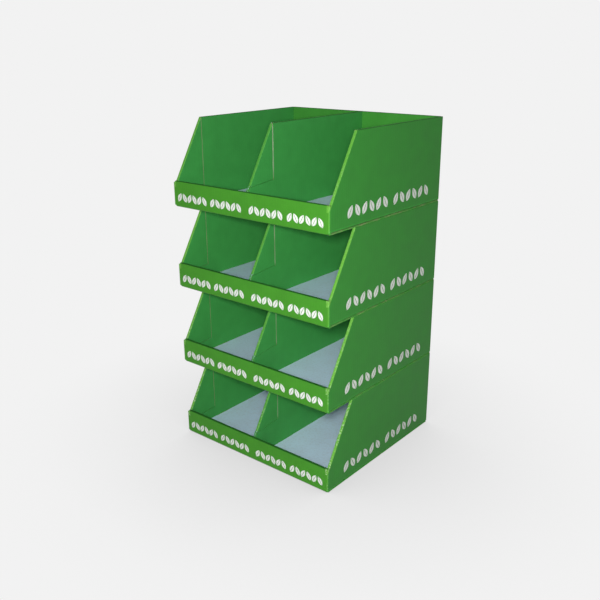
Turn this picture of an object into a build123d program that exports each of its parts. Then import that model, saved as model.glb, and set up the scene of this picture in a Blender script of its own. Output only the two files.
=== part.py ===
"""Display stand: four like folded card trays in a stack, each with a folded middle divider.

Millimetres, +Z up, the open side of the bins faces -Y. The origin is the middle of the stack's
footprint, on the ground. Every tray and every divider is one sheet of corrugated board, so each is
one solid: flat panels of one board thickness, joined by the folds between them.
"""
import os
from math import hypot

from build123d import *

# The stack and its trays
TIER_NAMES = ["bottom", "second", "third", "top"]
TRAY_WIDTH = 400.0
TRAY_DEPTH = 380.0
TRAY_HEIGHT = 174.0
LIP_HEIGHT = 53.0
SLANT_RUN = 78.0  # from the front of the lip back to the corner of slanted and level edge

# The board and its folds
BOARD = 2.8
PLY_GAP = 0.4  # between two plies, or two floor layers, that lie on each other
FOLD_INNER = 0.5  # inside radius of a square fold
CREASE = 1.2  # outside radius of each of the two creases of a rolled-over edge
CLEARANCE = 0.4  # between an edge and what it butts against
SEAM = 1.2  # between two bottom flaps, or a flap and the glue flap, in one layer
FLAP_SEAM = 0.8  # open seam between the two flaps that are folded over one wall

# Flaps and tabs
FLAP_INSET = 0.8  # bottom flaps stop short of the sides by this much
GLUE_FLAP = 38.0  # glue flap of the left side, behind the lip
SIDE_FLAP_FOOT = 33.0  # height at which a side's slant flap ends, at the seam
DIVIDER_FLAP_FOOT = 67.0  # the same on a divider
FLAP_DROP = 5.0  # fall of a slant flap's lower edge from the seam to the front
TAB_LENGTH = 45.0
SIDE_TAB_SPACING = 170.0
END_TAB_SPACING = 220.0  # tabs of lip and back
DIVIDER_TAB_SPACING = 170.0

# Worked out
WALL = 2 * BOARD + PLY_GAP  # a doubled wall
FLOOR = 2 * BOARD + PLY_GAP  # top of the doubled floor
LAYER = BOARD + PLY_GAP  # from one ply or layer to the next
FOLD = FOLD_INNER + BOARD  # outside radius of a square fold
ROLL = WALL / 2  # height of a rolled-over edge above the axis between its plies
HALF = TRAY_WIDTH / 2
FRONT = -TRAY_DEPTH / 2
BACK = TRAY_DEPTH / 2
ROLL_AXIS = TRAY_HEIGHT - ROLL  # axis height of the level edge's roll
LIP_AXIS = LIP_HEIGHT - ROLL  # the same on the lip
PLY_FOOT = FLOOR + CLEARANCE  # where a rolled-over ply ends above the floor
CORNER = FRONT + SLANT_RUN  # where the slanted edge meets the level one
SLANT_FOOT = FRONT + LAYER + FOLD  # where the slanted edge meets the lip
PLY_FRONT = max(FRONT + WALL + CLEARANCE, SLANT_FOOT)  # front of what stands behind the lip
BETWEEN_SIDES = HALF - WALL - CLEARANCE

# The slanted edge as a unit vector (y, z), and the direction from it into the wall
SLANT_LENGTH = hypot(CORNER - SLANT_FOOT, TRAY_HEIGHT - LIP_HEIGHT)
ALONG_Y = (CORNER - SLANT_FOOT) / SLANT_LENGTH
ALONG_Z = (TRAY_HEIGHT - LIP_HEIGHT) / SLANT_LENGTH
INWARD_Y = ALONG_Z
INWARD_Z = -ALONG_Y
AXIS_CORNER = CORNER + ROLL * (1 - ALONG_Y) / ALONG_Z  # corner of the axes of both rolls

RIGHTWARD = (1, 0, 0)
LEFTWARD = (-1, 0, 0)
BACKWARD = (0, 1, 0)
FORWARD = (0, -1, 0)
DOWNWARD = (0, 0, -1)


def slab(x0, x1, y0, y1, z0, z1):
    """Flat panel between two opposite corners."""
    return Pos(x0, y0, z0) * Box(x1 - x0, y1 - y0, z1 - z0, align=(Align.MIN, Align.MIN, Align.MIN))


def upright_panel(outline, x0):
    """Panel one board thick, from x0 towards +X, with its outline given in (y, z)."""
    corners = [point for i, point in enumerate(outline) if point != outline[i - 1]]
    face = make_face(Polyline(*corners, close=True))
    return extrude(Plane.YZ.offset(x0) * face, BOARD)


def square_fold(start, outward, other, length):
    """Quarter ring of board that joins two panels at a right angle.

    start is on the fold's inner axis, and the two directions point out of the panels' outer faces.
    """
    along = Vector(*outward).cross(Vector(*other))
    ring = Circle(FOLD) - Circle(FOLD_INNER)
    quarter = ring & Rectangle(FOLD, FOLD, align=(Align.MIN, Align.MIN))
    return extrude(Plane(origin=start, x_dir=outward, z_dir=along) * quarter, length)


def rolled_edge(axis, across):
    """Board folded over at two creases, which joins the plies of a wall. It is mitred at corners of its axis.

    The top is flat between the creases, and the gap between the plies ends round on the axis.
    """
    run = Vector(*axis[1]) - Vector(*axis[0])
    block = Rectangle(2 * ROLL, ROLL, align=(Align.CENTER, Align.MIN))
    creased = fillet(block.vertices().group_by(Axis.Y)[-1], CREASE)
    section = Plane(origin=axis[0], x_dir=across, z_dir=run) * (creased - Circle(PLY_GAP / 2))
    return sweep(section, path=Polyline(*axis), transition=Transition.RIGHT)


def slant_z(y):
    """Height of the slanted edge at y."""
    return LIP_HEIGHT + (y - SLANT_FOOT) * ALONG_Z / ALONG_Y


def slant_axis_z(y):
    """Height of the axis of the slanted edge's roll at y."""
    return slant_z(y) - ROLL / ALONG_Y


def slant_roll_foot(flap_foot):
    """Lowest point of the slanted roll, as (y, z) on the edge and on the roll's axis.

    It is where the slant flap's lower edge comes out at the slanted edge, or the lip if that is higher.
    """
    rise = ALONG_Z / ALONG_Y
    fall = FLAP_DROP / (CORNER - PLY_FRONT)
    reach = (flap_foot - fall * (CORNER - SLANT_FOOT) - LIP_HEIGHT) / (rise - fall)
    edge_y = SLANT_FOOT + max(reach, 0)
    edge = (edge_y, slant_z(edge_y))
    axis = (edge[0] + ROLL * INWARD_Y, edge[1] + ROLL * INWARD_Z)
    return edge, axis


def main_ply(x0, foot_corners, flap_foot):
    """Outer ply of a doubled wall: its outline from the rear foot up, forward and down the slant."""
    edge, axis = slant_roll_foot(flap_foot)
    rear = foot_corners[-1][0]
    rolled = [(rear, ROLL_AXIS), (AXIS_CORNER, ROLL_AXIS), axis, edge]
    return upright_panel(foot_corners + rolled, x0)


def rolled_plies(x0, axis_x, rear, foot, flap_foot):
    """What is folded over a doubled wall: a rear flap over the level edge, a slant flap over the other.

    Both lie in one layer, from x0. An open seam runs down from the corner of the two edges, and turns
    forward below the slant flap, over the foot of the rear flap. The outer half of the roll is not cut.
    """
    edge, axis = slant_roll_foot(flap_foot)
    before = CORNER - FLAP_SEAM / 2
    behind = CORNER + FLAP_SEAM / 2
    path = [(rear, ROLL_AXIS), (AXIS_CORNER, ROLL_AXIS), axis]
    roll = rolled_edge([(axis_x, y, z) for y, z in path], RIGHTWARD)
    roll -= slab(min(x0, axis_x), max(x0 + BOARD, axis_x), before, behind, LIP_HEIGHT, TRAY_HEIGHT)

    slant_flap = [(before, flap_foot), (before, slant_axis_z(before)), axis]
    rear_flap = [(behind, flap_foot - FLAP_SEAM), (behind, ROLL_AXIS), (rear, ROLL_AXIS)]
    rear_flap += [(rear, foot), (PLY_FRONT, foot)]
    if edge[0] == SLANT_FOOT:
        front_top = LIP_HEIGHT + (PLY_FRONT - SLANT_FOOT) * INWARD_Z / INWARD_Y
        slant_flap += [(PLY_FRONT, front_top), (PLY_FRONT, flap_foot - FLAP_DROP)]
        rear_flap += [(PLY_FRONT, flap_foot - FLAP_DROP - FLAP_SEAM)]
    else:
        below = (-FLAP_SEAM * ALONG_Y, -FLAP_SEAM * ALONG_Z)
        rear_flap += [(PLY_FRONT, slant_z(PLY_FRONT))]
        rear_flap += [(y + below[0], z + below[1]) for y, z in (edge, axis)]
    return [roll, upright_panel(slant_flap, x0), upright_panel(rear_flap, x0)]


def spaced(spacing):
    """Places of a pair of tabs."""
    return [-spacing / 2, spacing / 2]


def side(front):
    """Right side of a tray: outer ply from front back, rolled plies with their tabs, and its floor flap."""
    foot = LAYER + FOLD
    rear = BACK - FOLD
    floor_flap = slab(SEAM / 2, HALF - FOLD, FRONT + LAYER, BACK - LAYER, LAYER, FLOOR)
    for y in spaced(SIDE_TAB_SPACING):
        floor_flap -= tab_slot(HALF - WALL, HALF - LAYER, y - TAB_LENGTH / 2, y + TAB_LENGTH / 2)
    for x in spaced(END_TAB_SPACING):
        floor_flap -= tab_slot(x - TAB_LENGTH / 2, x + TAB_LENGTH / 2, FRONT + LAYER, FRONT + WALL)
        floor_flap -= tab_slot(x - TAB_LENGTH / 2, x + TAB_LENGTH / 2, BACK - WALL, BACK - LAYER)
    for y in spaced(DIVIDER_TAB_SPACING):
        floor_flap -= tab_slot(-ROLL, ROLL, y - TAB_LENGTH / 2, y + TAB_LENGTH / 2)
    foot_corners = [(front, LIP_HEIGHT), (front, foot), (rear, foot)]
    panels = [floor_flap, main_ply(HALF - BOARD, foot_corners, SIDE_FLAP_FOOT)]
    panels += [square_fold((HALF - FOLD, front, foot), RIGHTWARD, DOWNWARD, rear - front)]
    panels += rolled_plies(HALF - WALL, HALF - ROLL, rear, PLY_FOOT, SIDE_FLAP_FOOT)
    for y in spaced(SIDE_TAB_SPACING):
        panels += [slab(HALF - WALL, HALF - LAYER, y - TAB_LENGTH / 2, y + TAB_LENGTH / 2, LAYER, PLY_FOOT)]
    return panels


def tab_slot(x0, x1, y0, y1):
    """Slot through the floor's upper layer for a tab with these sides."""
    return slab(x0 - CLEARANCE, x1 + CLEARANCE, y0 - CLEARANCE, y1 + CLEARANCE, LAYER, FLOOR)


def lip():
    """Front lip: outer ply, rolled top, inner ply with its tabs, and its bottom flap."""
    outer_end = HALF - BOARD - CLEARANCE
    panels = [slab(-HALF, HALF - FOLD, FRONT, FRONT + BOARD, FOLD, LIP_AXIS)]
    axis = FRONT + ROLL
    panels += [rolled_edge([(-outer_end, axis, LIP_AXIS), (outer_end, axis, LIP_AXIS)], BACKWARD)]
    panels += [slab(GLUE_FLAP + SEAM - HALF, outer_end, FRONT + LAYER, FRONT + WALL, PLY_FOOT, LIP_AXIS)]
    panels += [square_fold((FOLD - HALF, FRONT + FOLD, FOLD), FORWARD, DOWNWARD, TRAY_WIDTH - 2 * FOLD)]
    panels += [slab(FLAP_INSET - HALF, HALF - FLAP_INSET, FRONT + FOLD, -SEAM / 2, 0, BOARD)]
    for x in spaced(END_TAB_SPACING):
        panels += [slab(x - TAB_LENGTH / 2, x + TAB_LENGTH / 2, FRONT + LAYER, FRONT + WALL, LAYER, PLY_FOOT)]
    return panels


def back():
    """Back: outer ply, rolled top, inner ply with its tabs, and its bottom flap."""
    ends = HALF - FOLD
    panels = [slab(-ends, ends, BACK - BOARD, BACK, FOLD, ROLL_AXIS)]
    panels += [slab(-ends, -BETWEEN_SIDES, BACK - BOARD, BACK, ROLL_AXIS, TRAY_HEIGHT - PLY_GAP)]
    panels += [slab(BETWEEN_SIDES, ends, BACK - BOARD, BACK, ROLL_AXIS, TRAY_HEIGHT - PLY_GAP)]
    axis = BACK - ROLL
    panels += [rolled_edge([(-BETWEEN_SIDES, axis, ROLL_AXIS), (BETWEEN_SIDES, axis, ROLL_AXIS)], BACKWARD)]
    panels += [slab(-BETWEEN_SIDES, BETWEEN_SIDES, BACK - WALL, BACK - LAYER, PLY_FOOT, ROLL_AXIS)]
    panels += [square_fold((-ends, BACK - FOLD, FOLD), DOWNWARD, BACKWARD, 2 * ends)]
    panels += [slab(FLAP_INSET - HALF, HALF - FLAP_INSET, SEAM / 2, BACK - FOLD, 0, BOARD)]
    for x in spaced(END_TAB_SPACING):
        panels += [slab(x - TAB_LENGTH / 2, x + TAB_LENGTH / 2, BACK - WALL, BACK - LAYER, LAYER, PLY_FOOT)]
    return panels


def upright_folds():
    """The three upright corners that are folds, and the glue flap that closes the fourth behind the lip."""
    x = HALF - FOLD
    lip_edge = LIP_HEIGHT - PLY_GAP
    top_edge = TRAY_HEIGHT - PLY_GAP
    glue_top = LIP_AXIS - CLEARANCE
    folds = [square_fold((x, FRONT + FOLD, FOLD), FORWARD, RIGHTWARD, lip_edge - FOLD)]
    folds += [square_fold((x, BACK - FOLD, FOLD), RIGHTWARD, BACKWARD, top_edge - FOLD)]
    folds += [square_fold((-x, BACK - FOLD, FOLD), BACKWARD, LEFTWARD, top_edge - FOLD)]
    folds += [square_fold((-x, SLANT_FOOT, PLY_FOOT), LEFTWARD, FORWARD, glue_top - PLY_FOOT)]
    folds += [slab(-x, GLUE_FLAP - HALF, FRONT + LAYER, FRONT + WALL, PLY_FOOT, glue_top)]
    return folds


def tray():
    """One tray, standing on the ground."""
    right = side(FRONT + FOLD)
    left = [mirror(panel, about=Plane.YZ) for panel in side(SLANT_FOOT)]
    return Part() + lip() + back() + upright_folds() + right + left


def divider():
    """One divider, in its place in a tray on the ground: it stands on the floor, with tabs in its slots."""
    rear = BACK - WALL - CLEARANCE
    foot_corners = [(PLY_FRONT, slant_z(PLY_FRONT)), (PLY_FRONT, FLOOR), (rear, FLOOR)]
    panels = [main_ply(-ROLL, foot_corners, DIVIDER_FLAP_FOOT)]
    panels += rolled_plies(ROLL - BOARD, 0, rear, FLOOR, DIVIDER_FLAP_FOOT)
    for y in spaced(DIVIDER_TAB_SPACING):
        for x in (-ROLL, ROLL - BOARD):
            panels += [slab(x, x + BOARD, y - TAB_LENGTH / 2, y + TAB_LENGTH / 2, LAYER, FLOOR)]
    return Part() + panels


os.makedirs("parts", exist_ok=True)
one_tray = tray()
one_divider = divider()
for tier, tier_name in enumerate(TIER_NAMES):
    place = Pos(0, 0, tier * TRAY_HEIGHT)
    export_step(place * one_tray, f"parts/tray_{tier_name}.step")
    export_step(place * one_divider, f"parts/divider_{tier_name}.step")
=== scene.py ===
"""Card display stand: four printed trays in a stack, each with a folded middle divider.

The board's solids come with the frame. This file gives them their print, bare liner, cut edges and
worn folds, with painted highlight and shade, and adds the rows of printed leaves, the floor, the light
and the camera.
"""

import bmesh
import bpy
import numpy as np
from mathutils import Matrix


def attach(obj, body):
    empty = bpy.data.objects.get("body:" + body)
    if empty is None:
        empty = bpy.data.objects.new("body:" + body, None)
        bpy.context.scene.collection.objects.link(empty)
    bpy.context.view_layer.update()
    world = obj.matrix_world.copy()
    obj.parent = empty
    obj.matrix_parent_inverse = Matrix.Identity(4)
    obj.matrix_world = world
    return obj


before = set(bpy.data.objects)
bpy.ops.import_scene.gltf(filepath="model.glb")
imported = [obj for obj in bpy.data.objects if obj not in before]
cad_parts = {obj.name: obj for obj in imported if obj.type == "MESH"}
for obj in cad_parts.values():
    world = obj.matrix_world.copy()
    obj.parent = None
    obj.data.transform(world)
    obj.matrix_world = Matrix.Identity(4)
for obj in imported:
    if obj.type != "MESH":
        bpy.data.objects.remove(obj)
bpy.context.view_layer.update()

# Trays
# Four like trays, each folded from one sheet of corrugated board with a white top liner, printed in
# green on that side and varnished. Walls are doubled over their edges, tabs lock the plies in the floor.
TIERS = ("bottom", "second", "third", "top")
MM = 1000.0  # millimetres in a metre: the board's sizes are in millimetres
TRAY_HEIGHT = 174.0
HALF_WIDTH = 200.0
HALF_DEPTH = 190.0
LIP_HEIGHT = 53.0
BOARD = 2.8
WALL = 6.0  # two plies with the gap between them
ROLL = 3.0  # half of a wall
INNER_X = HALF_WIDTH - WALL
INNER_Y = HALF_DEPTH - WALL
CREASE = 1.2  # radius at the two creases of a folded edge
CREASE_CREST = 0.4 * CREASE
FOLD = 3.3  # radius of a square fold
FOLD_CREST = 0.3 * FOLD
FLAP_TOP = 3.0  # upper face of the bottom flaps
FLOOR_TOP = 6.0  # upper face of the floor flaps on them
GLUE_FLAP = 38.0
SLANT_FOOT = -183.5
SLANT_TOP = -112.0
FLUTE_PITCH = 6.4
CUT_WAVE = 83.0  # a cut nearly along the flutes meets one in this length
BLEED = 14.0  # the print runs this far onto the underside
GREEN_INK = (0.042, 0.264, 0.038, 1.0)
LAMPLIT_LIP_INK = (0.061, 0.284, 0.025, 1.0)
INNER_BOUNCE_INK = (0.051, 0.319, 0.067, 1.0)
GROOVE_LIGHT_INK = (0.046, 0.345, 0.044, 1.0)
STRETCHED_INK_AND_HIGHLIGHT = (0.150, 0.440, 0.055, 1.0)
CREASE_SHADE_INK = (0.014, 0.098, 0.011, 1.0)
CHIPPED_INK = (0.55, 0.66, 0.50, 1.0)
WHITE_LINER = (0.63, 0.815, 0.99, 1.0)
GREY_FIBRE = (0.52, 0.63, 0.74, 1.0)
KRAFT_LINER = (0.52, 0.41, 0.28, 1.0)
HOLLOW_SHADE = (0.17, 0.115, 0.07, 1.0)
SATIN = (0.38, 0.46)  # roughness of the varnish where the ink lies thick and thin
MATT = 0.85  # roughness of bare paper, cuts and pressed edges
VARNISH_GLOSS = 0.1
GRAIN_DEPTH = 0.00008  # metres
GRAIN_STRENGTH = 0.6
WIDE = 1.0  # widths over which a zone fades out
SOFT = 0.4
SHARP = 0.1
RIM_TOP = 166.0  # upper end of the pale rims along the cut flaps
RIM_FADE = 8.0
RIM_SOFT = 0.5
MOST = (0.25, 0.75)  # nearly all of a noise lies between these
LEANS = (0.70, 0.80)  # part of a normal from which a face leans some way, and faces it
SQUARE = (0.93, 0.97)  # the same for a face that is square on


def add(tree, kind, sources=(), **settings):
    """One node with its settings; sources feed its inputs in order, as sockets, values, or None to skip."""
    made = tree.nodes.new(kind)
    for name, value in settings.items():
        setattr(made, name, value)
    for place, source in enumerate(sources):
        if isinstance(source, bpy.types.NodeSocket):
            tree.links.new(source, made.inputs[place])
        elif source is not None:
            made.inputs[place].default_value = source
    return made


def maths(tree, operation, *values):
    """Result of one Math node."""
    return add(tree, "ShaderNodeMath", values, operation=operation).outputs[0]


def size_of(tree, value):
    """Value without its sign."""
    return maths(tree, "ABSOLUTE", value)


def ramp(tree, value, zero, one):
    """Mask that rises smoothly from 0 where the value is zero to 1 where it is one."""
    sources = (value, zero, one, 0.0, 1.0)
    return add(tree, "ShaderNodeMapRange", sources, interpolation_type="SMOOTHSTEP").outputs[0]


def carry(tree, value, low, high, first, last):
    """Value carried evenly from the range low to high to the range first to last, and held past its ends."""
    return add(tree, "ShaderNodeMapRange", (value, low, high, first, last)).outputs[0]


def between(tree, value, low, high, soft):
    """Mask that is 1 from low to high, and fades out over soft at both ends."""
    return maths(tree, "MULTIPLY", ramp(tree, value, low - soft, low), ramp(tree, value, high + soft, high))


def leaning(tree, part, way=1.0):
    """Mask of the faces that lean far along an axis, or against it where way is -1."""
    return ramp(tree, part, way * LEANS[0], way * LEANS[1])


def every(tree, *masks):
    """Mask that is 1 where all the masks are."""
    result = masks[0]
    for mask in masks[1:]:
        result = maths(tree, "MULTIPLY", result, mask)
    return result


def either(tree, *masks):
    """Mask that is 1 where any of the masks is."""
    result = masks[0]
    for mask in masks[1:]:
        result = maths(tree, "MAXIMUM", result, mask)
    return result


def blend(tree, share, base, other):
    """Base value, changed to the other value by a share."""
    return add(tree, "ShaderNodeMix", (share, None, base, other)).outputs[0]


def tint(tree, share, base, other):
    """Base colour, changed to the other colour by a share."""
    sources = (share, None, None, None, None, None, base, other)
    return add(tree, "ShaderNodeMix", sources, data_type="RGBA").outputs[2]


def scaled(tree, vector, factor):
    """Vector or colour times a factor that varies."""
    made = add(tree, "ShaderNodeVectorMath", (vector,), operation="SCALE")
    tree.links.new(factor, made.inputs["Scale"])
    return made.outputs[0]


def noise(tree, place, scale, detail):
    """Fractal noise of about 0 to 1; scale is in features per millimetre."""
    return add(tree, "ShaderNodeTexNoise", (place, None, scale, detail)).outputs[0]


def split(tree, vector):
    """The three parts of a vector."""
    return add(tree, "ShaderNodeSeparateXYZ", (vector,)).outputs


def group(name, inputs, outputs):
    """Empty node group with named sockets: (tree, its inputs, its outputs to be fed)."""
    tree = bpy.data.node_groups.new(name, "ShaderNodeTree")
    for label, kind in inputs:
        tree.interface.new_socket(label, in_out="INPUT", socket_type="NodeSocket" + kind)
    for label, kind in outputs:
        tree.interface.new_socket(label, in_out="OUTPUT", socket_type="NodeSocket" + kind)
    return tree, tree.nodes.new("NodeGroupInput").outputs, tree.nodes.new("NodeGroupOutput").inputs


def printed_liner():
    """Flood print on the top liner: uneven ink, fine paper grain, and the flutes that show through."""
    tree, given, made = group(
        "printed liner",
        (("Place", "Vector"), ("Along flutes", "Float"), ("Ink", "Color")),
        (("Colour", "Color"), ("Roughness", "Float"), ("Height", "Float")),
    )
    flute_shade = 0.012
    flute_height = 0.5
    grain_height = 0.35
    mottle = noise(tree, given["Place"], scale=0.035, detail=4.0)
    grain = noise(tree, given["Place"], scale=0.9, detail=3.0)
    flute = maths(tree, "SINE", maths(tree, "MULTIPLY", given["Along flutes"], 2 * np.pi / FLUTE_PITCH))
    shade = carry(tree, mottle, *MOST, first=0.93, last=1.05)
    speck = carry(tree, grain, *MOST, first=0.965, last=1.035)
    level = maths(tree, "MULTIPLY_ADD", flute, flute_shade, maths(tree, "MULTIPLY", shade, speck))
    tree.links.new(scaled(tree, given["Ink"], level), made["Colour"])
    tree.links.new(carry(tree, mottle, *MOST, *SATIN), made["Roughness"])
    height = maths(tree, "MULTIPLY_ADD", flute, flute_height, maths(tree, "MULTIPLY", grain, grain_height))
    tree.links.new(height, made["Height"])
    return tree


def bare_liner():
    """Unprinted liner: white paper with greyish fibres, matt."""
    tree, given, made = group("bare liner", (("Place", "Vector"),), (("Colour", "Color"),))
    fibre_share = 0.45
    cloud_share = 0.22
    fibre = noise(tree, given["Place"], scale=0.25, detail=5.0)
    cloud = noise(tree, given["Place"], scale=0.02, detail=3.0)
    share = maths(tree, "MULTIPLY", ramp(tree, fibre, zero=0.42, one=0.78), fibre_share)
    share = maths(tree, "MULTIPLY_ADD", ramp(tree, cloud, zero=0.35, one=0.7), cloud_share, share)
    tree.links.new(tint(tree, share, WHITE_LINER, GREY_FIBRE), made["Colour"])
    return tree


def cut_edge():
    """Cut through the board: two liners with the fluted paper winding between them over hollows, painted
    dark as shade.
    """
    tree, given, made = group(
        "cut edge",
        (("Place", "Vector"), ("Depth", "Float"), ("Turns", "Float")),
        (("Colour", "Color"),),
    )
    middle = 0.5
    swing = 0.30
    fray_share = 0.8
    winding = maths(tree, "SINE", maths(tree, "MULTIPLY", given["Turns"], 2 * np.pi))
    flute = maths(tree, "MULTIPLY_ADD", winding, swing, middle)
    off_flute = size_of(tree, maths(tree, "SUBTRACT", given["Depth"], flute))
    off_middle = size_of(tree, maths(tree, "SUBTRACT", given["Depth"], middle))
    paper = ramp(tree, off_flute, zero=0.22, one=0.10)
    skin = ramp(tree, off_middle, zero=0.30, one=0.40)
    fray = ramp(tree, noise(tree, given["Place"], scale=0.6, detail=4.0), zero=0.45, one=0.7)
    share = either(tree, paper, skin, maths(tree, "MULTIPLY", fray, fray_share))
    # the hollows between the flutes are painted shade
    tree.links.new(tint(tree, share, HOLLOW_SHADE, KRAFT_LINER), made["Colour"])
    return tree


def fold_wear_and_highlight():
    """Worn print: ink stretched thin along folds, its lighter colour also a painted highlight, chips of bare
    liner, and pale rims along cut flaps.

    Place is measured from the ground: the top tray has been handled less, the lower ones get the
    knocks, and the flaps of the upper ones have sprung open further.
    """
    tree, given, made = group(
        "fold wear and highlight",
        (("Place", "Vector"), ("Fold", "Float"), ("Rim", "Float")),
        (("Thin", "Float"), ("Chipped", "Float")),
    )
    stretch = noise(tree, given["Place"], scale=0.018, detail=2.0)
    fleck = noise(tree, given["Place"], scale=0.30, detail=4.0)
    tall = split(tree, given["Place"])[2]
    handled = carry(tree, tall, low=480.0, high=620.0, first=1.0, last=0.70)
    knocked = carry(tree, tall, low=60.0, high=340.0, first=0.75, last=0.10)
    sprung = carry(tree, tall, low=380.0, high=640.0, first=0.35, last=1.0)
    thin = carry(tree, fleck, low=0.30, high=0.65, first=0.70, last=1.0)
    # thin ink on the folds, lighter also as painted highlight
    tree.links.new(every(tree, given["Fold"], thin, handled), made["Thin"])
    least_rubbed = 0.08
    more_rubbed = 0.80
    least_pale = 0.15
    more_pale = 0.65
    stretched = ramp(tree, stretch, zero=0.36, one=0.60)
    rubbed = maths(tree, "MULTIPLY_ADD", stretched, more_rubbed, least_rubbed)
    chips = every(tree, given["Fold"], ramp(tree, fleck, zero=0.48, one=0.60), rubbed, knocked)
    bent = ramp(tree, stretch, zero=0.35, one=0.60)
    pale = maths(tree, "MULTIPLY_ADD", bent, more_pale, least_pale)
    tree.links.new(either(tree, chips, every(tree, given["Rim"], pale, sprung)), made["Chipped"])
    return tree


def past_slant(tree, y, h):
    """How far a place lies outside the slanted edge: its way from the edge's foot, along the normal."""
    rise = TRAY_HEIGHT - LIP_HEIGHT
    run = SLANT_TOP - SLANT_FOOT
    length = float(np.hypot(rise, run))
    foot = (SLANT_FOOT * rise - LIP_HEIGHT * run) / length
    along_y = maths(tree, "MULTIPLY_ADD", y, -rise / length, foot)
    return maths(tree, "MULTIPLY_ADD", h, run / length, along_y)


def flap_rim(tree, y, h, beside, foot):
    """Mask of the cut flaps' edges: beside their upright seam, from its foot to just under the top edge."""
    beside_seam = between(tree, y, SLANT_TOP - beside, SLANT_TOP + beside, RIM_SOFT)
    return every(tree, beside_seam, between(tree, h, foot, RIM_TOP, RIM_FADE))


# what is told of every place on a board: its print, its masks, and how the fluting runs there
ZONES = (
    ("Ink", "Color"), ("Bare", "Float"), ("Cut", "Float"), ("Stained", "Float"), ("Fold", "Float"),
    ("Pressed and shaded", "Float"), ("Rim", "Float"), ("Along flutes", "Float"), ("Depth", "Float"),
    ("Turns", "Float"),
)


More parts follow.
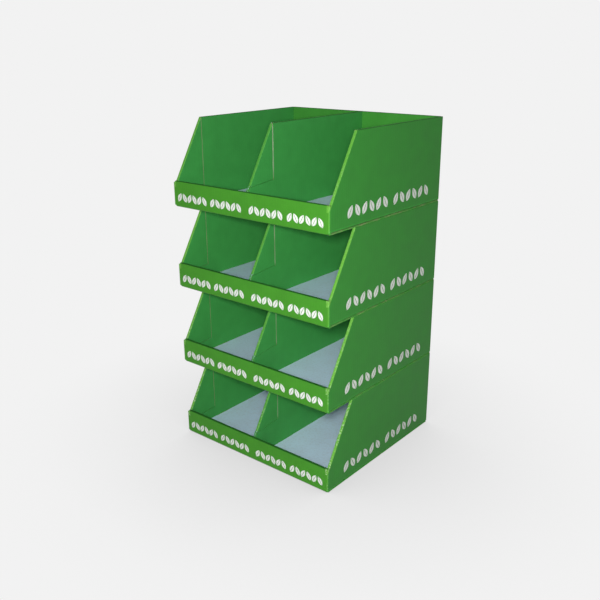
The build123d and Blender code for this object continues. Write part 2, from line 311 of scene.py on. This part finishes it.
def tray_zones():
    """Which face of a tray's sheet shows where, worked out from place (mm, on its ground) and facing.

    Stacked is the share of the stack that stands on the tray.
    """
    inputs = (("Place", "Vector"), ("Facing", "Vector"), ("Stacked", "Float"))
    tree, given, made = group("tray zones", inputs, ZONES)
    x, y, h = split(tree, given["Place"])
    nx, ny, nz = split(tree, given["Facing"])
    width = size_of(tree, x)
    depth = size_of(tree, y)
    up = leaning(tree, nz)
    down = leaning(tree, nz, -1.0)
    sideways = leaning(tree, size_of(tree, nx))
    endways = leaning(tree, size_of(tree, ny))
    square_on = ramp(tree, size_of(tree, ny), *SQUARE)
    at_side = ramp(tree, width, INNER_X - SOFT, INNER_X - SOFT / 2)
    at_front = ramp(tree, y, SOFT - INNER_Y, SOFT / 2 - INNER_Y)
    at_back = ramp(tree, y, INNER_Y - SOFT, INNER_Y - SOFT / 2)
    outer_x = ramp(tree, width, HALF_WIDTH - FOLD, HALF_WIDTH - FOLD_CREST)
    outer_y = ramp(tree, depth, HALF_DEPTH - FOLD, HALF_DEPTH - FOLD_CREST)

    # ink, with painted light: the faces turned into the tray get a lighter, bluer green as painted bounce
    # light, what faces forward a warmer green as painted lamp light, and the foot of the side walls, in the
    # gap between two trays, a lighter green against the gap's shade
    turned_in = -40.0  # a place times its normal, from which a face is turned to the middle of the tray
    lamp_warm_least = 0.6
    lip_share = 0.4
    gap_height = 8.0
    facing_in = ramp(tree, maths(tree, "MULTIPLY", nx, x), 0.0, turned_in)
    end_facing_in = ramp(tree, maths(tree, "MULTIPLY", ny, y), 0.0, turned_in)
    ink = tint(tree, either(tree, facing_in, end_facing_in), GREEN_INK, INNER_BOUNCE_INK)
    lamp_warm_share = maths(tree, "MULTIPLY_ADD", at_front, lip_share, lamp_warm_least)
    lamp_warmed = maths(tree, "MULTIPLY", leaning(tree, ny, -1.0), lamp_warm_share)
    groove_lit = every(tree, outer_x, ramp(tree, h, gap_height, FLOOR_TOP))
    tree.links.new(tint(tree, groove_lit, tint(tree, lamp_warmed, ink, LAMPLIT_LIP_INK), GROOVE_LIGHT_INK), made["Ink"])

    # bare: floor, underside past the print's bleed, glue flap, and the outer plies' inner faces
    near = 0.5
    under = 0.3
    bleed_wander = 1.2
    wander = noise(tree, given["Place"], scale=0.05, detail=2.0)
    bleed = maths(tree, "MULTIPLY_ADD", wander, bleed_wander, HALF_DEPTH - BLEED)
    past_bleed = maths(tree, "LESS_THAN", depth, bleed)
    floor_top = every(tree, up, between(tree, h, FLOOR_TOP - near, FLOOR_TOP + near, near))
    underside = every(tree, down, ramp(tree, h, 2 * under, under), past_bleed)
    flap_end = GLUE_FLAP - HALF_WIDTH
    on_glue_flap = ramp(tree, x, flap_end + 2 * SOFT, flap_end + SOFT)
    under_roll = ramp(tree, h, LIP_HEIGHT - ROLL + SHARP, LIP_HEIGHT - ROLL - SHARP)
    glue_flap = every(tree, leaning(tree, ny), at_front, on_glue_flap, under_roll)
    inner_face = HALF_WIDTH - BOARD
    ply_back = every(tree, sideways, between(tree, width, inner_face - SHARP, inner_face + SHARP, SHARP))
    tree.links.new(either(tree, floor_top, underside, glue_flap, ply_back), made["Bare"])

    # cut: bottom flaps' sides, the flaps' seam in the walls, slots, the lip's left end, bare corner tops
    ledge_width = 4.0
    end_zone = 8.0
    seam_foot = 8.0
    seam_soft = 0.3
    seam_head = TRAY_HEIGHT - ROLL - 2 * seam_soft
    wall_zone = 4.2
    slot_head = FLOOR_TOP + 2 * SHARP
    corner_x = HALF_WIDTH - 6.5
    corner_y = HALF_DEPTH - 3.4
    on_flaps = ramp(tree, h, FLAP_TOP + SHARP / 2, FLAP_TOP - SHARP / 2)
    flap_sides = every(tree, sideways, on_flaps)
    past_ledge = ramp(tree, width, HALF_WIDTH - ledge_width, HALF_WIDTH - ledge_width + SOFT)
    ledge = every(tree, up, on_flaps, past_ledge)
    clear_of_ends = ramp(tree, depth, HALF_DEPTH - end_zone, HALF_DEPTH - end_zone - WIDE)
    seam = every(tree, square_on, at_side, clear_of_ends)
    over_floor = between(tree, h, seam_foot, seam_head, seam_soft)
    kink = every(tree, either(tree, up, down), at_side, over_floor)
    clear_of_walls = every(
        tree,
        ramp(tree, width, HALF_WIDTH - wall_zone, HALF_WIDTH - wall_zone - SOFT / 2),
        ramp(tree, depth, HALF_DEPTH - wall_zone, HALF_DEPTH - wall_zone - SOFT / 2),
    )
    in_slot = ramp(tree, h, slot_head + SHARP, slot_head)
    slots = every(tree, either(tree, sideways, endways), in_slot, clear_of_walls)
    outer_ply = ramp(tree, y, ROLL - HALF_DEPTH, ROLL - SHARP - HALF_DEPTH)
    lip_end = every(tree, leaning(tree, nx, -1.0), outer_ply)
    past_corner_x = ramp(tree, width, corner_x, corner_x + SHARP)
    past_corner_y = ramp(tree, depth, corner_y, corner_y + 2 * SHARP)
    corner_top = every(tree, up, past_corner_x, past_corner_y)
    tree.links.new(either(tree, flap_sides, ledge, seam, kink, slots, lip_end, corner_top), made["Cut"])

    # stained: cuts that the print ran over, in patches, and more on the lower trays
    least_stained = 0.30
    patch_least = 0.55
    patch_stacked = 0.35
    patch_most = 0.98
    cloud = noise(tree, given["Place"], scale=0.03, detail=3.0)
    least = maths(tree, "MULTIPLY_ADD", given["Stacked"], patch_stacked, patch_least)
    patches = carry(tree, cloud, low=0.35, high=0.65, first=least, last=patch_most)
    stain = every(tree, either(tree, flap_sides, ledge, kink), patches)
    tree.links.new(maths(tree, "MAXIMUM", stain, least_stained), made["Stained"])

    # folds: the slanted edges, the rims that trays stand on, upright corners, and the bottom folds
    # their ink wears thin there, and its lighter colour also stands as painted highlight on the rounded
    # edges
    bottom_share = 0.08
    upright_share = 0.45
    rim_share = 0.25
    side_fold_top = 6.5
    side_fold_crest = 4.2
    level_edge = ramp(tree, h, TRAY_HEIGHT - CREASE, TRAY_HEIGHT - CREASE_CREST)
    slant_edge = every(tree, ramp(tree, past_slant(tree, y, h), -CREASE, -CREASE_CREST), at_side)
    end_bottom = every(tree, outer_y, ramp(tree, h, FOLD, FOLD_CREST))
    side_bottom = every(tree, outer_x, ramp(tree, h, side_fold_top, side_fold_crest))
    bottom = maths(tree, "MULTIPLY", either(tree, end_bottom, side_bottom), bottom_share)
    upright = maths(tree, "MULTIPLY", every(tree, outer_x, outer_y), upright_share)
    rubbed_and_highlit_rim = maths(tree, "MULTIPLY", every(tree, level_edge, given["Stacked"]), rim_share)
    tree.links.new(either(tree, bottom, rubbed_and_highlit_rim, slant_edge, upright), made["Fold"])

    # pressed and shaded: the lip's edge and the level edges get painted shade, as their tops face away from
    # the lamps.
    # The creases also squeezed the varnish matt there.
    level_pressed_and_shaded = 0.80
    most_pressed_and_shaded = 0.85
    lip_edge = every(tree, at_front, ramp(tree, h, LIP_HEIGHT - CREASE, LIP_HEIGHT - CREASE_CREST))
    level_share = maths(tree, "MULTIPLY_ADD", given["Stacked"], -level_pressed_and_shaded, level_pressed_and_shaded)
    pressed_and_shaded = maths(tree, "MAXIMUM", maths(tree, "MULTIPLY", level_edge, level_share), lip_edge)
    tree.links.new(maths(tree, "MULTIPLY", pressed_and_shaded, most_pressed_and_shaded), made["Pressed and shaded"])

    # rim: the cut flaps' edges on both sides of their seam, faint
    rim_faint = 0.15
    rim = every(tree, flap_rim(tree, y, h, beside=1.0, foot=42.0), facing_in)
    tree.links.new(maths(tree, "MULTIPLY", rim, rim_faint), made["Rim"])

    # flutes run up the walls and on through their flaps, so their waves count along y on sides and floor
    clear_of_sides = ramp(tree, width, INNER_X, INNER_X - WIDE)
    on_end_walls = every(tree, either(tree, at_front, at_back), clear_of_sides)
    on_ends = either(tree, endways, down, on_end_walls)
    tree.links.new(blend(tree, on_ends, y, x), made["Along flutes"])
    into = maths(tree, "SUBTRACT", width, INNER_X)
    into = blend(tree, flap_sides, into, h)
    into = blend(tree, lip_end, into, maths(tree, "ADD", y, HALF_DEPTH))
    tree.links.new(maths(tree, "DIVIDE", into, BOARD), made["Depth"])
    across = maths(tree, "DIVIDE", y, FLUTE_PITCH)
    slow = maths(tree, "DIVIDE", maths(tree, "ADD", y, h), CUT_WAVE)
    tree.links.new(blend(tree, either(tree, kink, corner_top), slow, across), made["Turns"])
    return tree


def new_material(name):
    """Material with nothing fed to its shader yet: (material, its tree, its shader, its coordinates)."""
    material = bpy.data.materials.new(name)
    material.use_nodes = True
    tree = material.node_tree
    return material, tree, tree.nodes["Principled BSDF"], add(tree, "ShaderNodeTexCoord").outputs


def in_millimetres(tree, place):
    """Place in millimetres, from one in metres."""
    return add(tree, "ShaderNodeVectorMath", (place, (MM,) * 3), operation="MULTIPLY").outputs[0]


def varnish(tree, shader, colour, rough, height):
    """Feeds the shader: colour and roughness, fine relief of the grain, and the varnish's faint gloss."""
    bump = add(tree, "ShaderNodeBump", (GRAIN_STRENGTH, GRAIN_DEPTH))
    tree.links.new(height, bump.inputs["Height"])
    tree.links.new(colour, shader.inputs["Base Color"])
    tree.links.new(rough, shader.inputs["Roughness"])
    tree.links.new(bump.outputs[0], shader.inputs["Normal"])
    shader.inputs["Specular IOR Level"].default_value = VARNISH_GLOSS


def board_material(name, ground, zones, **settings):
    """Varnished board: print, worn folds with painted highlight, creased edges with painted shade, bare
    liner and cut edges laid over each other by the zones.
    """
    material, tree, shader, seen = new_material(name)
    to_ground = (seen["Object"], (0.0, 0.0, -ground), None, (MM,) * 3)
    on_ground = add(tree, "ShaderNodeMapping", to_ground).outputs[0]
    zoned = add(tree, "ShaderNodeGroup", (on_ground, seen["Normal"]), node_tree=zones)
    for label, value in settings.items():
        zoned.inputs[label].default_value = value
    zone = zoned.outputs
    in_mm = in_millimetres(tree, seen["Object"])
    printed_from = (in_mm, zone["Along flutes"], zone["Ink"])
    printed = add(tree, "ShaderNodeGroup", printed_from, node_tree=ink_group).outputs
    worn_from = (in_mm, zone["Fold"], zone["Rim"])
    worn = add(tree, "ShaderNodeGroup", worn_from, node_tree=wear_and_highlight_group).outputs
    bare = add(tree, "ShaderNodeGroup", (in_mm,), node_tree=liner_group).outputs
    edge_from = (in_mm, zone["Depth"], zone["Turns"])
    edge = add(tree, "ShaderNodeGroup", edge_from, node_tree=edge_group).outputs
    # painted shade darkens the lip's edge and the level edges
    colour = tint(tree, zone["Pressed and shaded"], printed["Colour"], CREASE_SHADE_INK)
    # folds lighter: ink worn thin, and painted highlight
    colour = tint(tree, worn["Thin"], colour, STRETCHED_INK_AND_HIGHLIGHT)
    colour = tint(tree, worn["Chipped"], colour, CHIPPED_INK)
    colour = tint(tree, zone["Bare"], colour, bare["Colour"])
    stained = tint(tree, zone["Stained"], edge["Colour"], printed["Colour"])
    colour = tint(tree, zone["Cut"], colour, stained)
    matt = either(tree, zone["Bare"], zone["Cut"], zone["Pressed and shaded"])
    rough = blend(tree, matt, printed["Roughness"], MATT)
    varnish(tree, shader, colour, rough, printed["Height"])
    return material


def dress(piece, material):
    """Gives a node its material."""
    piece.data.materials.clear()
    piece.data.materials.append(material)


ink_group = printed_liner()
liner_group = bare_liner()
edge_group = cut_edge()
wear_and_highlight_group = fold_wear_and_highlight()
tray_group = tray_zones()
for tier, tier_name in enumerate(TIERS):
    stacked = 1.0 - tier / (len(TIERS) - 1)
    tray_board = board_material(f"tray board {tier_name}", tier * TRAY_HEIGHT, tray_group, Stacked=stacked)
    dress(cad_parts[f"tray_{tier_name}"], tray_board)

# Dividers
# One per tray: a strip of the same board, folded over its top and slanted edge into a double wall.
# It stands on the floor with tabs in its slots, and its slanted edge ends at the lip.
FLAP_FOOT = 62.0  # the lowest end of the slanted edge's flap
PLY_FACE = 0.2  # the plies' inner faces, from the middle between them


def divider_zones():
    """Which face of a divider's sheet shows where, worked out from place (mm, on its ground) and facing."""
    tree, given, made = group("divider zones", (("Place", "Vector"), ("Facing", "Vector")), ZONES)
    x, y, h = split(tree, given["Place"])
    nx, ny, nz = split(tree, given["Facing"])
    width = size_of(tree, x)
    sideways = leaning(tree, size_of(tree, nx))
    # the plies' faces get the lighter, bluer green as painted bounce light in the tray's shade
    tree.links.new(tint(tree, sideways, GREEN_INK, INNER_BOUNCE_INK), made["Ink"])
    between_plies = ramp(tree, width, PLY_FACE + 3 * SHARP, PLY_FACE + SHARP)
    tree.links.new(every(tree, sideways, between_plies), made["Bare"])

    # cut: the flap's seam, its turn forward, and the raw front edge below the flap
    raw_top = FLAP_FOOT + 1.5
    fold_foot = 168.0
    least_stained = 0.35
    hidden_stained = 0.60
    flat = maths(tree, "SUBTRACT", 1.0, sideways)
    seam = every(tree, ramp(tree, size_of(tree, ny), *SQUARE), flat)
    below = every(tree, flat, ramp(tree, h, raw_top + WIDE, raw_top))
    under_fold = ramp(tree, h, fold_foot, fold_foot - WIDE)
    kink = every(tree, ramp(tree, size_of(tree, nz), *SQUARE), under_fold)
    tree.links.new(either(tree, seam, below, kink), made["Cut"])
    stain = maths(tree, "MULTIPLY_ADD", either(tree, kink, below), hidden_stained, least_stained)
    tree.links.new(stain, made["Stained"])

    # folds: the slanted edge is rubbed and lightened as painted highlight, the level edge darkened as
    # painted shade and matt, and the flap's rim pale beside its seam
    slant_share = 0.5
    level_share = 0.7
    slant_edge = ramp(tree, past_slant(tree, y, h), -CREASE, -CREASE_CREST)
    level_edge = ramp(tree, h, TRAY_HEIGHT - CREASE, TRAY_HEIGHT - CREASE_CREST)
    # the slanted edge lightened: rubbed ink, and painted highlight
    tree.links.new(maths(tree, "MULTIPLY", slant_edge, slant_share), made["Fold"])
    # painted shade on the level edge
    tree.links.new(maths(tree, "MULTIPLY", level_edge, level_share), made["Pressed and shaded"])
    rim = every(tree, flap_rim(tree, y, h, beside=1.2, foot=75.0), leaning(tree, nx))
    tree.links.new(rim, made["Rim"])

    # flutes run up the plies, so their waves count along y
    tree.links.new(y, made["Along flutes"])
    tree.links.new(maths(tree, "DIVIDE", maths(tree, "SUBTRACT", width, PLY_FACE), BOARD), made["Depth"])
    across = maths(tree, "DIVIDE", y, FLUTE_PITCH)
    slow = maths(tree, "DIVIDE", maths(tree, "ADD", y, h), CUT_WAVE)
    tree.links.new(blend(tree, kink, slow, across), made["Turns"])
    return tree


divider_group = divider_zones()
for tier, tier_name in enumerate(TIERS):
    divider_board = board_material(f"divider board {tier_name}", tier * TRAY_HEIGHT, divider_group)
    dress(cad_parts[f"divider_{tier_name}"], divider_board)

# Printed leaves
# Rows of leaves in white ink on the lips and sides, two groups of six to a row, printed with the green
# in one pass, so the film of ink is thin and lies flat on the board's varnished liner.
LEAVES = 12
GROUP_GAP = 0.6  # in leaf places
LIP_ROWS = (("left", -191.0, -11.0), ("right", 7.0, 188.0))
LIP_ROW_MIDDLE = 20.5
LIP_LEAF = 19.0
SIDES = (("left", -1.0), ("right", 1.0))
SIDE_ROW = (-140.0, 145.0)
SIDE_ROW_MIDDLE = 32.0
SIDE_LEAF = 25.0
LEAF_LEAN = np.radians(28.0)
LEAF_LENGTH = 1.02  # this and the next three are shares of the leaf's height
LEAF_HALF_WIDTH = 0.285
VEIN_GAP = 0.022
HAIR_GAP = 0.004
LEAF_POWER = 0.8
VEIN_POWER = 0.5
STALK_FULLNESS = 1.12  # factor on the width at the stalk, and how much it falls to the tip
FULLNESS_FALL = 0.30
LEAF_STEPS = 11
HALF_STEPS = 3
INK_LIFT = 0.00003  # metres, as the next two
INK_FILM = 0.00008
SAME_POINT = 1e-6
WHITE_INK = (0.80, 0.83, 0.80, 1.0)


def leaf_row(start, end, centre, height):
    """Points (row, up) of a row of leaves, as whole arrays: leaf, half of the leaf, along it, across it.

    A leaf's half width is that of a pointed oval, sin(pi t) to the power 0.8, fuller towards its stalk.
    Each half runs from the vein's gap out to that width, and every second leaf leans the other way.
    The halves end in points of their own, a hair apart.
    """
    count = np.arange(LEAVES)
    place_width = (end - start) / (LEAVES + GROUP_GAP)
    middle = start + place_width * (count + 0.5 + GROUP_GAP * (count >= LEAVES // 2))
    t = np.linspace(0.0, 1.0, LEAF_STEPS)
    s = np.linspace(0.0, 1.0, HALF_STEPS)
    half = np.array([-1.0, 1.0])
    lean = LEAF_LEAN * np.where(count % 2, -1.0, 1.0)
    oval = np.sin(np.pi * t)
    full = LEAF_HALF_WIDTH * height * oval**LEAF_POWER * (STALK_FULLNESS - FULLNESS_FALL * t)
    vein = VEIN_GAP * height * oval**VEIN_POWER
    hair = HAIR_GAP * height
    across = half[:, None, None] * (hair + vein[:, None] + (full - vein)[:, None] * s)
    along = np.broadcast_to(LEAF_LENGTH * height * (t - 0.5)[:, None], across.shape[1:])
    turned = lean[:, None, None, None]
    row = middle[:, None, None, None] + along * np.sin(turned) + across * np.cos(turned)
    up = centre + along * np.cos(turned) - across * np.sin(turned)
    return row, up


def grid_faces(shape, flip):
    """Four corners of every cell of each grid in a stack of grids, turned round where flip is true."""
    stacks, rows, columns = shape
    number = np.arange(stacks * rows * columns).reshape(shape)
    corners = (number[:, :-1, :-1], number[:, 1:, :-1], number[:, 1:, 1:], number[:, :-1, 1:])
    faces = np.stack(corners, axis=-1)
    faces = np.where(np.asarray(flip)[:, None, None, None], faces[..., ::-1], faces)
    return faces.reshape(-1, 4)


def close(mesh):
    """Makes one point of those that fall together, at the poles and the seam of a grid."""
    shape = bmesh.new()
    shape.from_mesh(mesh)
    bmesh.ops.remove_doubles(shape, verts=shape.verts, dist=SAME_POINT)
    shape.to_mesh(mesh)
    shape.free()


def ink_film(name, points, facing, material):
    """Thin closed film just off the board, over points (leaf, half, along, across, xyz in metres)."""
    grids = points.reshape(-1, *points.shape[2:]) + INK_LIFT * np.array(facing)
    halfway = LEAF_STEPS // 2
    onwards = grids[:, halfway, 0] - grids[:, halfway - 1, 0]
    outwards = grids[:, halfway, -1] - grids[:, halfway, 0]
    faces = grid_faces(grids.shape[:3], np.cross(onwards, outwards) @ np.array(facing) < 0.0)
    mesh = bpy.data.meshes.new(name)
    mesh.from_pydata(grids.reshape(-1, 3).tolist(), [], faces.tolist())
    close(mesh)
    mesh.materials.append(material)
    piece = bpy.data.objects.new(name, mesh)
    bpy.context.scene.collection.objects.link(piece)
    film = piece.modifiers.new("film", "SOLIDIFY")
    film.thickness = INK_FILM
    film.offset = 1.0
    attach(piece, "root")


def white_ink():
    """White ink on the liner: its grain and flutes, with a little green showing through thin spots."""
    material, tree, shader, seen = new_material("white ink")
    thin_share = 0.25
    in_mm = in_millimetres(tree, seen["Object"])
    parts = split(tree, in_mm)
    printed_from = (in_mm, maths(tree, "ADD", parts["X"], parts["Y"]), WHITE_INK)
    printed = add(tree, "ShaderNodeGroup", printed_from, node_tree=ink_group).outputs
    spots = ramp(tree, noise(tree, in_mm, scale=0.4, detail=4.0), zero=0.52, one=0.75)
    colour = tint(tree, maths(tree, "MULTIPLY", spots, thin_share), printed["Colour"], GREEN_INK)
    varnish(tree, shader, colour, printed["Roughness"], printed["Height"])
    return material


leaf_ink = white_ink()
for tier, tier_name in enumerate(TIERS):
    ground = tier * TRAY_HEIGHT
    for side_name, start, end in LIP_ROWS:
        row, up = leaf_row(start, end, ground + LIP_ROW_MIDDLE, LIP_LEAF)
        on_lip = np.stack([row, np.full_like(row, -HALF_DEPTH), up], axis=-1) / MM
        ink_film(f"leaves_{tier_name}_lip_{side_name}", on_lip, (0.0, -1.0, 0.0), leaf_ink)
    for side_name, out in SIDES:
        row, up = leaf_row(*SIDE_ROW, ground + SIDE_ROW_MIDDLE, SIDE_LEAF)
        on_side = np.stack([np.full_like(row, out * HALF_WIDTH), row, up], axis=-1) / MM
        ink_film(f"leaves_{tier_name}_{side_name}_side", on_side, (out, 0.0, 0.0), leaf_ink)

# Floor
# Pale seamless studio floor, which the stand's lowest tray rests on. Seen directly it shows one even
# colour, darker only in the soft shadow round the stand. The light it gives back is that of grey paper.
FLOOR_COLOUR = (0.888, 0.888, 0.888, 1.0)
FLOOR_PAPER = (0.4, 0.4, 0.4, 1.0)
FLOOR_REACH = 9.0  # metres
FLOOR_DROP = 0.0003
FLOOR_RINGS = 25
FLOOR_SPOKES = 73
SHADOW_REACH = 0.5
DEEPEST_SHADOW = 0.58


def seen_directly(tree):
    """Mask of the rays that show a thing as it looks: from the camera, a reflection or through something."""
    path = add(tree, "ShaderNodeLightPath").outputs
    return either(tree, path["Is Camera Ray"], path["Is Glossy Ray"], path["Is Transmission Ray"])


# a disc: rings whose radius grows with the square of their number, by spokes at even angles
radius = np.linspace(0.0, 1.0, FLOOR_RINGS)[:, None] ** 2 * FLOOR_REACH
angle = np.linspace(0.0, 2 * np.pi, FLOOR_SPOKES)
level = np.full((FLOOR_RINGS, FLOOR_SPOKES), -FLOOR_DROP)
disc = np.stack([radius * np.cos(angle), radius * np.sin(angle), level], axis=-1)
floor_mesh = bpy.data.meshes.new("floor")
floor_faces = grid_faces((1, FLOOR_RINGS, FLOOR_SPOKES), [False])
floor_mesh.from_pydata(disc.reshape(-1, 3).tolist(), [], floor_faces.tolist())
close(floor_mesh)
floor_material = bpy.data.materials.new("studio floor")
floor_material.use_nodes = True
floor_tree = floor_material.node_tree
floor_tree.nodes.remove(floor_tree.nodes["Principled BSDF"])
open_sky = add(floor_tree, "ShaderNodeAmbientOcclusion", (None, SHADOW_REACH), samples=16).outputs["AO"]
lightness = carry(floor_tree, open_sky, low=0.0, high=1.0, first=DEEPEST_SHADOW, last=1.0)
shadowed = scaled(floor_tree, FLOOR_COLOUR[:3], lightness)
even = add(floor_tree, "ShaderNodeEmission", (shadowed, 1.0)).outputs[0]
paper = add(floor_tree, "ShaderNodeBsdfDiffuse", (FLOOR_PAPER,)).outputs[0]
floor_look = add(floor_tree, "ShaderNodeMixShader", (seen_directly(floor_tree), paper, even)).outputs[0]
floor_tree.links.new(floor_look, floor_tree.nodes["Material Output"].inputs["Surface"])
floor_mesh.materials.append(floor_material)
floor = bpy.data.objects.new("floor", floor_mesh)
bpy.context.scene.collection.objects.link(floor)

# Light
# A small lamp beside the camera gives the light that falls off towards the back, and wide ones in front
# and above soften it. One behind on the left, kept out of reflections, makes the far sides readable, and
# the room adds a little from everywhere.
STAND_MIDDLE = (0.0, 0.0, 0.35)
STAND_FRONT = (0.0, -0.05, 0.35)
PLAIN_WHITE = (1.0, 1.0, 1.0)
WARM_WHITE = (1.0, 0.99, 0.96)
ROOM_COLOUR = (0.93, 0.97, 1.0, 1.0)
ROOM_STRENGTH = 0.06


def standing(right, upward, back, place):
    """Matrix of an object at a place, whose own axes point right, upward and back."""
    axes = np.eye(4)
    axes[:3, :3] = np.stack([right, upward, back], axis=1)
    axes[:3, 3] = place
    return Matrix(axes.tolist())


def soft_lamp(name, place, target, size, power, colour):
    """Square lamp at a place, turned towards a target."""
    lamp = bpy.data.lights.new(name, "AREA")
    lamp.size = size
    lamp.energy = power
    lamp.color = colour
    holder = bpy.data.objects.new(name, lamp)
    back = np.array(place) - np.array(target)
    back = back / np.linalg.norm(back)
    right = np.cross((0.0, 0.0, 1.0), back)
    right = right / np.linalg.norm(right)
    holder.matrix_world = standing(right, np.cross(back, right), back, place)
    bpy.context.scene.collection.objects.link(holder)
    return holder


soft_lamp("key lamp", (0.94, -1.20, 0.87), STAND_FRONT, size=0.12, power=20.6, colour=WARM_WHITE)
soft_lamp("front lamp", (0.45, -1.30, 0.60), STAND_FRONT, size=0.9, power=3.4, colour=PLAIN_WHITE)
soft_lamp("top lamp", (0.0, -0.2, 2.4), STAND_MIDDLE, size=1.6, power=4.0, colour=PLAIN_WHITE)
back_lamp = soft_lamp("back lamp", (-1.5, 1.5, 0.75), STAND_MIDDLE, size=0.8, power=25.0, colour=PLAIN_WHITE)
back_lamp.visible_glossy = False
world = bpy.data.worlds.new("room")
world.use_nodes = True
world_tree = world.node_tree
room = world_tree.nodes["Background"]
room.inputs["Color"].default_value = ROOM_COLOUR
room.inputs["Strength"].default_value = ROOM_STRENGTH
backdrop = add(world_tree, "ShaderNodeBackground", (FLOOR_COLOUR, 1.0)).outputs[0]
around = (seen_directly(world_tree), room.outputs[0], backdrop)
sky = add(world_tree, "ShaderNodeMixShader", around).outputs[0]
world_tree.links.new(sky, world_tree.nodes["World Output"].inputs["Surface"])
bpy.context.scene.world = world

# Camera
# Stands in front of the stand's right corner, a little above its top, and sees the whole of it with
# the same lens and turn as in the photograph.
CAMERA_PLACE = (0.96848, -1.19656, 0.84684)
AZIMUTH = np.radians(39.704)
ELEVATION = np.radians(19.274)
ROLL_ANGLE = np.radians(-0.381)
LENS = 44.853
SENSOR = 36.0
level_back = np.array([np.sin(AZIMUTH), -np.cos(AZIMUTH), 0.0])
back = np.cos(ELEVATION) * level_back + np.sin(ELEVATION) * np.array([0.0, 0.0, 1.0])
right = np.array([np.cos(AZIMUTH), np.sin(AZIMUTH), 0.0])
upward = np.cross(back, right)
rolled_right = np.cos(ROLL_ANGLE) * right + np.sin(ROLL_ANGLE) * upward
rolled_up = np.cos(ROLL_ANGLE) * upward - np.sin(ROLL_ANGLE) * right
lens = bpy.data.cameras.new("camera")
lens.lens = LENS
lens.sensor_width = SENSOR
camera = bpy.data.objects.new("camera", lens)
camera.matrix_world = standing(rolled_right, rolled_up, back, CAMERA_PLACE)
bpy.context.scene.collection.objects.link(camera)
bpy.context.scene.camera = camera
bpy.context.scene.view_settings.view_transform = "Standard"
